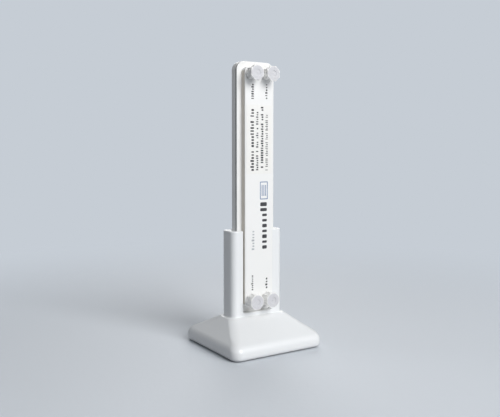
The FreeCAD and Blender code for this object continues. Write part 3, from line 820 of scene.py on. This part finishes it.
def make_edge_seal():
    low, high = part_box("edge_seal")
    loops = []
    for inset, share in SEAL_SIDE_VIEW:
        y = high.y + (low.y - high.y) * share
        loops.append(seal_loop("rear_cover", inset * MM, COVER_CORNER - inset * MM, y))
    for y in (low.y, high.y):
        loops.append(seal_loop("permeate_screen_front", -SHEET_PLAY, SHEET_CORNER, y))
    work = bmesh.new()
    rings = [[work.verts.new(point) for point in loop] for loop in loops]
    for ring, after in zip(rings, rings[1:] + rings[:1]):
        bridge(work, ring, after)
    bmesh.ops.recalc_face_normals(work, faces=work.faces)
    mesh = close_mesh(work, "seal_and_shade_bead")
    mesh.shade_smooth()
    mesh.set_sharp_from_angle(angle=SEAL_SMOOTH_TO)
    mesh.materials.append(finish["seal_resin"])
    piece = link_object("seal_and_shade_bead", mesh)
    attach(piece, "cassette")
    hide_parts("edge_seal")
    return piece


seal_and_shade_bead = make_edge_seal()
print("seal frame faces:", len(seal_and_shade_bead.data.polygons))

# %% [markdown]
# ## Geometry trees
# A geometry tree is a recipe with named inputs, and what it makes is kept as a plain mesh. Both
# trees here need a small bar with round corners, and both end by making their instances real and
# giving them a material.

# %% Helpers for geometry trees


def new_geometry_tree(name, inputs):
    """A geometry tree: inputs maps a name to its usual value, or to None for a material."""
    tree = bpy.data.node_groups.new(name, "GeometryNodeTree")
    add_socket = tree.interface.new_socket
    add_socket(name="Geometry", in_out="INPUT", socket_type="NodeSocketGeometry")
    for label, value in inputs.items():
        kind = {int: "Int", float: "Float"}.get(type(value), "Material")
        socket = add_socket(name=label, in_out="INPUT", socket_type=f"NodeSocket{kind}")
        if value is not None:
            socket.default_value = value
    add_socket(name="Geometry", in_out="OUTPUT", socket_type="NodeSocketGeometry")
    return tree, add_node(tree, "NodeGroupInput").outputs


def round_bar(tree, width, height, length, radius, steps):
    """A bar with round corners that stands up from its outline."""
    sides = {"Width": width, "Height": height}
    outline = result(tree, "GeometryNodeCurvePrimitiveQuadrilateral", sides)
    corners = {"Curve": outline, "Radius": radius, "Count": steps}
    soft = result(tree, "GeometryNodeFilletCurve", corners, mode="POLY")
    face = result(tree, "GeometryNodeFillCurve", {"Curve": soft}, mode="NGONS")
    rise = {"Mesh": face, "Offset Scale": length, "Individual": False}
    return result(tree, "GeometryNodeExtrudeMesh", rise, mode="FACES")


def end_tree(tree, geometry, material):
    """Makes instances real, gives all of it the material and hands it over."""
    real = result(tree, "GeometryNodeRealizeInstances", {0: geometry})
    inputs = {"Geometry": real, "Material": material}
    coloured = result(tree, "GeometryNodeSetMaterial", inputs)
    add_node(tree, "NodeGroupOutput", {"Geometry": coloured})


def random_output(tree, kind, inputs):
    """The output of a random value node; kind is BOOLEAN or FLOAT."""
    made = add_node(tree, "FunctionNodeRandomValue", inputs, data_type=kind)
    return next(s for s in made.outputs if s.type == {"FLOAT": "VALUE"}.get(kind, kind))


def run_tree(name, tree, values, mesh=None):
    """Runs a tree on a mesh with the given input values and returns a plain mesh object."""
    thing = link_object(f"{name}_maker", mesh or bpy.data.meshes.new(f"{name}_start"))
    modifier = thing.modifiers.new("maker", "NODES")
    modifier.node_group = tree
    for item in tree.interface.items_tree:
        if item.in_out == "INPUT" and item.name in values:
            modifier[item.identifier] = values[item.name]
    depsgraph = bpy.context.evaluated_depsgraph_get()
    made = bpy.data.meshes.new_from_object(thing.evaluated_get(depsgraph), depsgraph=depsgraph)
    made.name = name
    bpy.data.objects.remove(thing)
    return link_object(name, made)


def join_meshes(name, pieces):
    """One mesh object from several, each with its place already in its mesh."""
    joined = bmesh.new()
    materials = []
    for piece in pieces:
        own = list(piece.data.materials)
        materials += [material for material in own if material not in materials]
        first = len(joined.faces)
        joined.from_mesh(piece.data)
        joined.faces.ensure_lookup_table()
        for face in joined.faces[first:]:
            face.material_index = materials.index(own[face.material_index])
    mesh = close_mesh(joined, name)
    for material in materials:
        mesh.materials.append(material)
    for piece in pieces:
        bpy.data.objects.remove(piece)
    return link_object(name, mesh)


# %% [markdown]
# ## The caps
# Each cap is one small moulding: a tapered plug that closes the port, a collar round the port's
# lugs, and a grip with eight lobes. All but the lobes and ribs is round about one axis, so its
# side view is drawn once, with its corners rounded, and spun as on a lathe. The lobes follow a
# rule: eight large circles are cut into the rim. A geometry tree moves the rim's points in to
# those circles and repeats the collar's rib eight times, so both stay in step.

# %% Draw the cap's side view
CAP_VIEW = (
    # distance from the axis, distance out from the block, radius of the corner, all in mm
    (0.0, 0.4, 0.0), (1.92, 0.4, 0.25), (2.13, 7.3, 0.15), (4.0, 7.3, 0.2),
    (4.0, 0.6, 0.12), (4.9, 0.6, 0.15), (4.9, 7.3, 0.3), (6.2, 7.3, 0.25),
    (6.2, 9.4, 0.45), (5.3, 9.4, 0.0), (4.4, 9.4, 0.0), (3.5, 9.4, 0.0),
    (2.6, 9.4, 0.12), (2.45, 9.05, 0.12), (0.62, 9.05, 0.1), (0.5, 9.2, 0.06),
    (0.0, 9.2, 0.0),
)
CORNER_STEPS = 4
TURN_STEPS = 112


def rounded_view(corners):
    """The outline's points, with each corner that has a radius replaced by an arc."""
    points = []
    for index, (x, y, radius) in enumerate(corners):
        here = Vector((x, y))
        if radius == 0.0:
            points.append(here)
            continue
        before = (Vector(corners[index - 1][:2]) - here).normalized()
        after = (Vector(corners[index + 1][:2]) - here).normalized()
        half = before.angle(after) / 2
        reach = radius / math.tan(half)
        centre = here + (before + after).normalized() * radius / math.sin(half)
        first, last = here + before * reach - centre, here + after * reach - centre
        swing = first.angle_signed(last)
        for step in range(CORNER_STEPS + 1):
            turned = first.copy()
            turned.rotate(Matrix.Rotation(-swing * step / CORNER_STEPS, 2))
            points.append(centre + turned)
    return points


def turn_view(name, points):
    """Spins a side view about the Y axis; out from the block is -Y."""
    work = bmesh.new()
    verts = [work.verts.new((p.x * MM, -p.y * MM, 0.0)) for p in points]
    edges = [work.edges.new(pair) for pair in zip(verts, verts[1:])]
    bmesh.ops.spin(
        work, geom=verts + edges, cent=(0, 0, 0), axis=(0, 1, 0), angle=math.tau, steps=TURN_STEPS
    )
    bmesh.ops.remove_doubles(work, verts=work.verts, dist=SAME_PLACE)
    bmesh.ops.recalc_face_normals(work, faces=work.faces)
    in_fixed_order(work)
    return close_mesh(work, name)


cap_view = rounded_view(CAP_VIEW)
print("points in the cap's side view:", len(cap_view))

# %% The tree that cuts the lobes and sets the ribs
CAP_INPUTS = {
    "Lobes": 8,
    "Grip Radius": 6.2 * MM,
    "Scallop Radius": 12.0 * MM,
    "Scallop Depth": 0.45 * MM,
    "Collar Radius": 4.9 * MM,
    "Rib Width": 0.9 * MM,
    "Rib Height": 0.6 * MM,
    "Rib Start": 0.6 * MM,
    "Rib Length": 6.8 * MM,
    "Plastic": None,
}
RIB_ROUND = 0.3  # of a rib's width


def lobed_rim(tree, size, share):
    """The turned cap with its rim's points moved in to a ring of scallops."""
    calc = partial(math_node, tree)
    x, y, z = axes(tree, result(tree, "GeometryNodeInputPosition"))
    grip, scallop = size["Grip Radius"], size["Scallop Radius"]
    angle = calc("ARCTAN2", z, x)
    nearest = calc("MULTIPLY", calc("ROUND", calc("DIVIDE", angle, share)), share)
    off = calc("SUBTRACT", angle, nearest)
    cutter = calc("SUBTRACT", calc("ADD", grip, scallop), size["Scallop Depth"])
    aside = calc("MULTIPLY", cutter, calc("SINE", off))
    squares = calc("MULTIPLY", scallop, scallop), calc("MULTIPLY", aside, aside)
    half_chord = calc("SQRT", calc("SUBTRACT", *squares))
    limit = calc("SUBTRACT", calc("MULTIPLY", cutter, calc("COSINE", off)), half_chord)
    squeeze = calc("MINIMUM", calc("DIVIDE", limit, grip), 1.0)
    inputs = {
        "Value": hypotenuse(tree, x, z),
        "From Min": size["Collar Radius"],
        "From Max": calc("SUBTRACT", grip, size["Rib Height"]),
    }
    weight = result(tree, "ShaderNodeMapRange", inputs)
    change = calc("MULTIPLY", weight, calc("SUBTRACT", squeeze, 1.0))
    scale = calc("ADD", 1.0, change)
    moved = vector(tree, calc("MULTIPLY", x, scale), y, calc("MULTIPLY", z, scale))
    inputs = {"Geometry": size["Geometry"], "Position": moved}
    return result(tree, "GeometryNodeSetPosition", inputs)


def collar_ribs(tree, size, share):
    """One rib beside the axis, repeated round it, then laid down along the cap's axis."""
    calc = partial(math_node, tree)
    width, length = size["Rib Width"], size["Rib Length"]
    both_sides = calc("MULTIPLY", size["Rib Height"], 2.0)
    rib = round_bar(tree, both_sides, width, length, calc("MULTIPLY", width, RIB_ROUND), 3)
    at = vector(tree, x=size["Collar Radius"], z=size["Rib Start"])
    beside = result(tree, "GeometryNodeTransform", {"Geometry": rib, "Translation": at})
    inputs = {"Count": size["Lobes"], "Offset": (0.0, 0.0, 0.0)}
    points = result(tree, "GeometryNodeMeshLine", inputs)
    index = result(tree, "GeometryNodeInputIndex")
    turn = vector(tree, z=calc("MULTIPLY", index, share))
    inputs = {"Points": points, "Instance": beside, "Rotation": turn}
    ring = result(tree, "GeometryNodeInstanceOnPoints", inputs)
    inputs = {"Geometry": ring, "Rotation": (math.pi / 2, 0.0, 0.0)}
    return result(tree, "GeometryNodeTransform", inputs)


def make_cap_grip():
    tree, size = new_geometry_tree("cap_grip", CAP_INPUTS)
    share = math_node(tree, "DIVIDE", math.tau, size["Lobes"])
    lobed = lobed_rim(tree, size, share)
    both = add_node(tree, "GeometryNodeJoinGeometry")
    feed(tree, both.inputs[0], collar_ribs(tree, size, share))
    feed(tree, both.inputs[0], lobed)
    end_tree(tree, both.outputs[0], size["Plastic"])
    return tree


cap_grip = make_cap_grip()
print("tree:", cap_grip.name, "nodes:", len(cap_grip.nodes))

# %% Make the four caps
CAP_SMOOTH_TO = math.radians(38)

for cap in CAPS:
    turned = turn_view(f"{cap}_turned", cap_view)
    piece = run_tree(f"{cap}_moulding", cap_grip, {"Plastic": finish["cap_plastic"]}, turned)
    centre = middle(cap)
    piece.data.transform(Matrix.Translation((centre.x, block_face, centre.z)))
    piece.data.shade_smooth()
    piece.data.set_sharp_from_angle(angle=CAP_SMOOTH_TO)
    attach(piece, cap)
    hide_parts(cap)
    low, high = (Vector(corner) for corner in (piece.bound_box[0], piece.bound_box[6]))
    print(piece.name, "size, mm:", [round(c / MM, 2) for c in high - low])

# %% [markdown]
# ## Print
# The print is a skin of ink a few hundredths of a millimetre thick. Its words are left out here:
# a row of print is a row of plain bars in its place. A row repeats one shape with changing
# widths, which is work for Geometry Nodes: points along a line, a rounded bar on each point, a
# random width for each, and every seventh or so left out as a gap between words. The seed is
# fixed, so a row comes out the same each time.

# %% The tree that prints a row
ROW_INPUTS = {
    "Count": 12,
    "Pitch": 1.4 * MM,
    "Height": 2.0 * MM,
    "Fill": 0.72,
    "Gap Chance": 0.14,
    "Short Share": 0.5,
    "Thickness": 0.03 * MM,
    "Seed": 1,
    "Ink": None,
}
BAR_CORNER = 0.18  # of a bar's width and height, which are 1 before it is scaled
NARROWEST = 0.55
SHORTER_BY = 0.3
SECOND_SEED = 7.0


def make_print_row():
    """A row of rounded bars along X, Y up, Z out of the page."""
    tree, size = new_geometry_tree("print_row", ROW_INPUTS)
    calc = partial(math_node, tree)
    inputs = {"Count": size["Count"], "Offset": vector(tree, x=size["Pitch"])}
    line = result(tree, "GeometryNodeMeshLine", inputs)
    inputs = {"Probability": size["Gap Chance"], "Seed": size["Seed"]}
    inputs = {"Geometry": line, "Selection": random_output(tree, "BOOLEAN", inputs)}
    kept = result(tree, "GeometryNodeDeleteGeometry", inputs, domain="POINT")

    width = random_output(tree, "FLOAT", {2: NARROWEST, 3: 1.0, "Seed": size["Seed"]})
    wide = calc("MULTIPLY", width, calc("MULTIPLY", size["Pitch"], size["Fill"]))
    inputs = {"Probability": size["Short Share"], "Seed": calc("ADD", size["Seed"], SECOND_SEED)}
    is_short = random_output(tree, "BOOLEAN", inputs)
    share = calc("SUBTRACT", 1.0, calc("MULTIPLY", is_short, SHORTER_BY))
    tall = calc("MULTIPLY", size["Height"], share)

    inputs = {"Geometry": kept, "Offset": vector(tree, y=calc("MULTIPLY", tall, 0.5))}
    seat = result(tree, "GeometryNodeSetPosition", inputs)
    inputs = {
        "Points": seat,
        "Instance": round_bar(tree, 1.0, 1.0, 1.0, BAR_CORNER, 2),
        "Scale": vector(tree, wide, tall, size["Thickness"]),
    }
    spread = result(tree, "GeometryNodeInstanceOnPoints", inputs)
    end_tree(tree, spread, size["Ink"])
    return tree


print_row = make_print_row()
print("tree:", print_row.name, "nodes:", len(print_row.nodes))

# %% [markdown]
# ## Inks
# Pad-printed ink is nearly matt and not quite even: it is thinner in places, where the plastic
# shines through a little. The same mould skin group gives that drift.

# %% Inks
INK_SIZES = {"Grain": 2400.0, "Drift": 160.0}
INK_RELIEF = 0.006 * MM


def make_ink(name, full, thin):
    """An ink with its colour where it lies thick and where it lies thin."""
    material, tree, shader = new_material(name)
    skin = place_group(tree, mould_skin, INK_SIZES)
    colour = blend_colours(tree, skin["Tone"], thin, full)
    roughness = blend_values(tree, skin["Gloss"], 0.42, 0.60)
    dress(tree, shader, colour, roughness, skin["Skin"], INK_RELIEF)
    return material


INKS = (
    ("black", (0.022, 0.022, 0.026), (0.050, 0.050, 0.056)),
    ("grey", (0.055, 0.055, 0.060), (0.095, 0.095, 0.100)),
    ("faint", (0.42, 0.44, 0.46), (0.50, 0.52, 0.54)),
    ("blue", (0.20, 0.27, 0.42), (0.27, 0.34, 0.48)),
)
inks = {name: make_ink(f"ink_{name}", full, thin) for name, full, thin in INKS}
print("inks:", ", ".join(inks))

# %% [markdown]
# ## Rows on the label and the block
# The rows read upwards, as on the real cassette: along +Z, with their tops towards -X. A row is
# made flat in X and Y, so one matrix lays it on the face. Its numbers are the x of its baseline,
# the z of its start, its length and its height, all in millimetres, and how many bars it has. Its
# fill is the widest bar's share of a bar's room, and its gap the chance that a bar is left out.

# %% Lay the rows on the label
INK_DEEP = 0.03 * MM
SINK = 0.005 * MM
TO_FACE = Matrix(((0, -1, 0), (0, 0, -1), (1, 0, 0))).to_4x4()


def page(right, foot, face):
    """Lays a flat print on the cassette: its X goes up, its Y to the left, its Z outwards."""
    return Matrix.Translation((right * MM, face + SINK, foot * MM)) @ TO_FACE


def lay_row(face, name, right, foot, length, height, count, ink, seed, fill, gap):
    """One row of print on a face, from a line of the tables below."""
    pitch = length / count
    values = {
        "Count": count,
        "Pitch": pitch * MM,
        "Height": height * MM,
        "Fill": fill,
        "Gap Chance": gap,
        "Thickness": INK_DEEP + SINK,
        "Seed": seed,
        "Ink": inks[ink],
    }
    row = run_tree(name, print_row, values)
    row.data.transform(page(right, foot + pitch / 2, face))
    return row


LABEL_ROWS = (
    # name, right, foot, length, height, count, ink, seed, fill, gap
    ("row_a", -5.0, 139.6, 49.0, 3.2, 21, "black", 3, 0.70, 0.14),
    ("row_b", -0.9, 140.0, 46.5, 2.1, 26, "grey", 5, 0.72, 0.14),
    ("row_c", 3.8, 140.0, 50.5, 2.3, 27, "black", 11, 0.78, 0.14),
    ("row_d", 8.1, 139.8, 44.6, 2.3, 31, "grey", 2, 0.60, 0.14),
)
label_print = join_meshes("label_print", [lay_row(film_face, *row) for row in LABEL_ROWS])
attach(label_print, "cassette")
print("label print faces:", len(label_print.data.polygons))

# %% Rows printed straight on the block
BLOCK_ROWS = (
    ("row_bold", 7.3, 77.0, 38.5, 6.2, 9, "black", 4, 0.74, 0.0),
    ("row_faint", -4.5, 77.0, 16.2, 2.5, 7, "faint", 6, 0.74, 0.0),
    ("row_top_left", -5.0, 195.6, 16.0, 2.3, 9, "grey", 8, 0.74, 0.12),
    ("row_top_right", 7.7, 196.0, 12.6, 2.0, 6, "grey", 9, 0.66, 0.12),
    ("row_low_left", -5.5, 45.2, 12.4, 2.0, 8, "grey", 12, 0.74, 0.08),
    ("row_low_right", 7.9, 45.2, 9.4, 2.0, 4, "grey", 14, 0.66, 0.0),
)
block_print = join_meshes("block_print", [lay_row(block_face, *row) for row in BLOCK_ROWS])
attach(block_print, "cassette")
print("block print faces:", len(block_print.data.polygons))

# %% [markdown]
# ## The framed field
# Above the bold row the print has a small blue-grey field with a border. Here it is a plain frame
# with three plain bars in it. A frame is the outline of one rounded rectangle with another cut out,
# bridged face by face and given the ink's thickness.

# %% The framed field
FIELD_RIGHT, FIELD_FOOT = 8.2, 117.2  # in millimetres, as for the rows
FIELD_LENGTH, FIELD_HEIGHT = 14.2 * MM, 7.4 * MM
FIELD_BORDER = 0.75 * MM
FRAME_CORNERS = (0.5 * MM, 0.2 * MM)
FIELD_BARS = 3
BAR_SHARE = 0.62  # of the field's length
BAR_ROUND = 0.3  # of a bar's height


def plate_mesh(name, outlines):
    """A plate as thick as the ink: one outline is filled, two make a frame."""
    work = bmesh.new()
    rings = [[work.verts.new((x, y, 0.0)) for x, y in outline] for outline in outlines]
    if len(rings) == 1:
        work.faces.new(rings[0])
    else:
        bridge(work, *rings)
    raised = bmesh.ops.extrude_face_region(work, geom=list(work.faces))
    moved = [v for v in raised["geom"] if isinstance(v, bmesh.types.BMVert)]
    bmesh.ops.translate(work, verts=moved, vec=(0.0, 0.0, INK_DEEP + SINK))
    bmesh.ops.recalc_face_normals(work, faces=work.faces)
    in_fixed_order(work)
    return close_mesh(work, name)


def make_field():
    length, height = FIELD_LENGTH - FIELD_BORDER * 2, FIELD_HEIGHT - FIELD_BORDER * 2
    outer = rounded_outline(FIELD_LENGTH, FIELD_HEIGHT, FRAME_CORNERS[0])
    inner = rounded_outline(length, height, FRAME_CORNERS[1])
    parts = [plate_mesh("field_frame", (outer, inner))]
    bar_height = height / (FIELD_BARS * 2 + 1)
    outline = rounded_outline(FIELD_LENGTH * BAR_SHARE, bar_height, bar_height * BAR_ROUND)
    for index in range(FIELD_BARS):
        bar = plate_mesh("field_bar", (outline,))
        rise = (index - (FIELD_BARS - 1) / 2) * bar_height * 2
        bar.transform(Matrix.Translation((0.0, rise, 0.0)))
        parts.append(bar)
    for mesh in parts:
        mesh.transform(Matrix.Translation((FIELD_LENGTH / 2, FIELD_HEIGHT / 2, 0.0)))
        mesh.transform(page(FIELD_RIGHT, FIELD_FOOT, block_face))
        mesh.materials.append(inks["blue"])
    return join_meshes("print_field", [bpy.data.objects.new(m.name, m) for m in parts])


field = make_field()
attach(field, "cassette")
print("field faces:", len(field.data.polygons))
